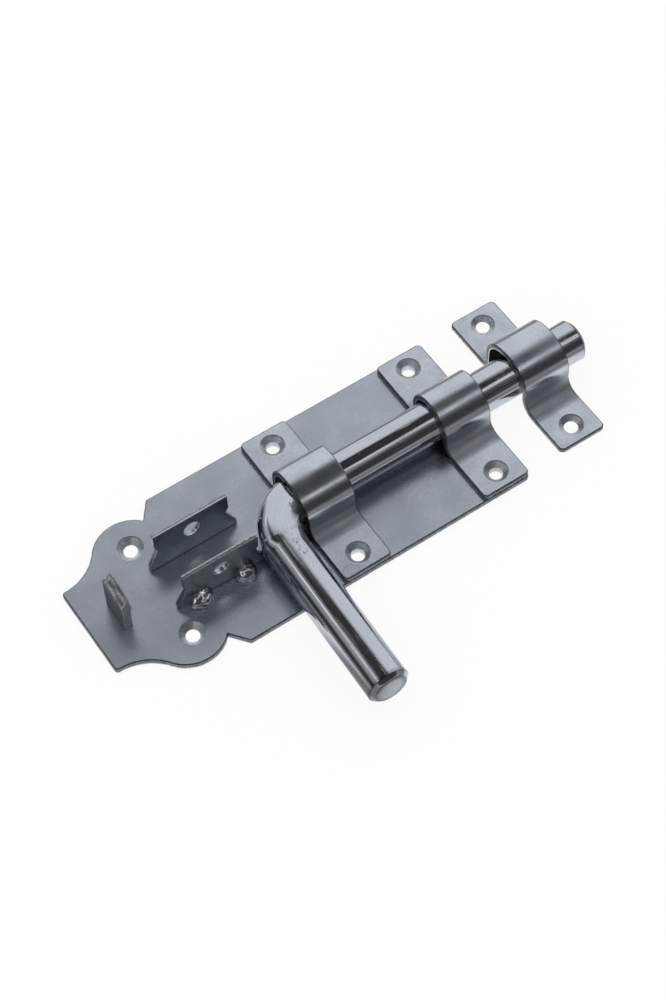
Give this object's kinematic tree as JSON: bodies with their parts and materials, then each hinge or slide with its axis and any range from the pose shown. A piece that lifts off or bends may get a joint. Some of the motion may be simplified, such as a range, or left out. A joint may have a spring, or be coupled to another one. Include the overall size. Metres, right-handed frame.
{
  "type": "gate latch",
  "caption": "Sliding gate latch: a round bar with a bent handle held by bent straps on a shaped plate, with padlock lugs, a stop tab and a separate keeper strap.",
  "frame": {"origin": "on the plate's back face, in the middle of the four strap screws", "axes": "+X along the bar towards the keeper, +Y to the side away from the handle, +Z away from the door"},
  "size_m": [0.21, 0.1186, 0.0226],
  "materials": {
    "plate_steel": "satin bright zinc on rolled sheet",
    "strap_steel": "satin bright zinc on bent strip",
    "bar_steel": "bright zinc on drawn bar, streaked along its length",
    "lug_steel": "bright zinc with rough sheared edges",
    "weld_metal": "bright zinc on rippled weld beads"
  },
  "bodies": {
    "mounting": {"base_plate": "plate_steel", "inner_guide_strap": "strap_steel", "outer_guide_strap": "strap_steel", "keeper_strap": "strap_steel", "rear_padlock_lug": "lug_steel", "front_padlock_lug": "lug_steel", "stop_tab": "lug_steel", "front_lug_left_weld": "weld_metal", "front_lug_right_weld": "weld_metal", "rear_lug_left_weld": "weld_metal", "rear_lug_right_weld": "weld_metal", "stop_tab_weld": "weld_metal"},
    "bolt": {"bolt": "bar_steel"}
  },
  "joints": [
    {"name": "handle_turn", "type": "hinge", "parent": "mounting", "child": "bolt", "pos_m": [0, 0, 0.0108], "axis": [-1, 0, 0], "range_deg": [0, 180]}
  ]
}
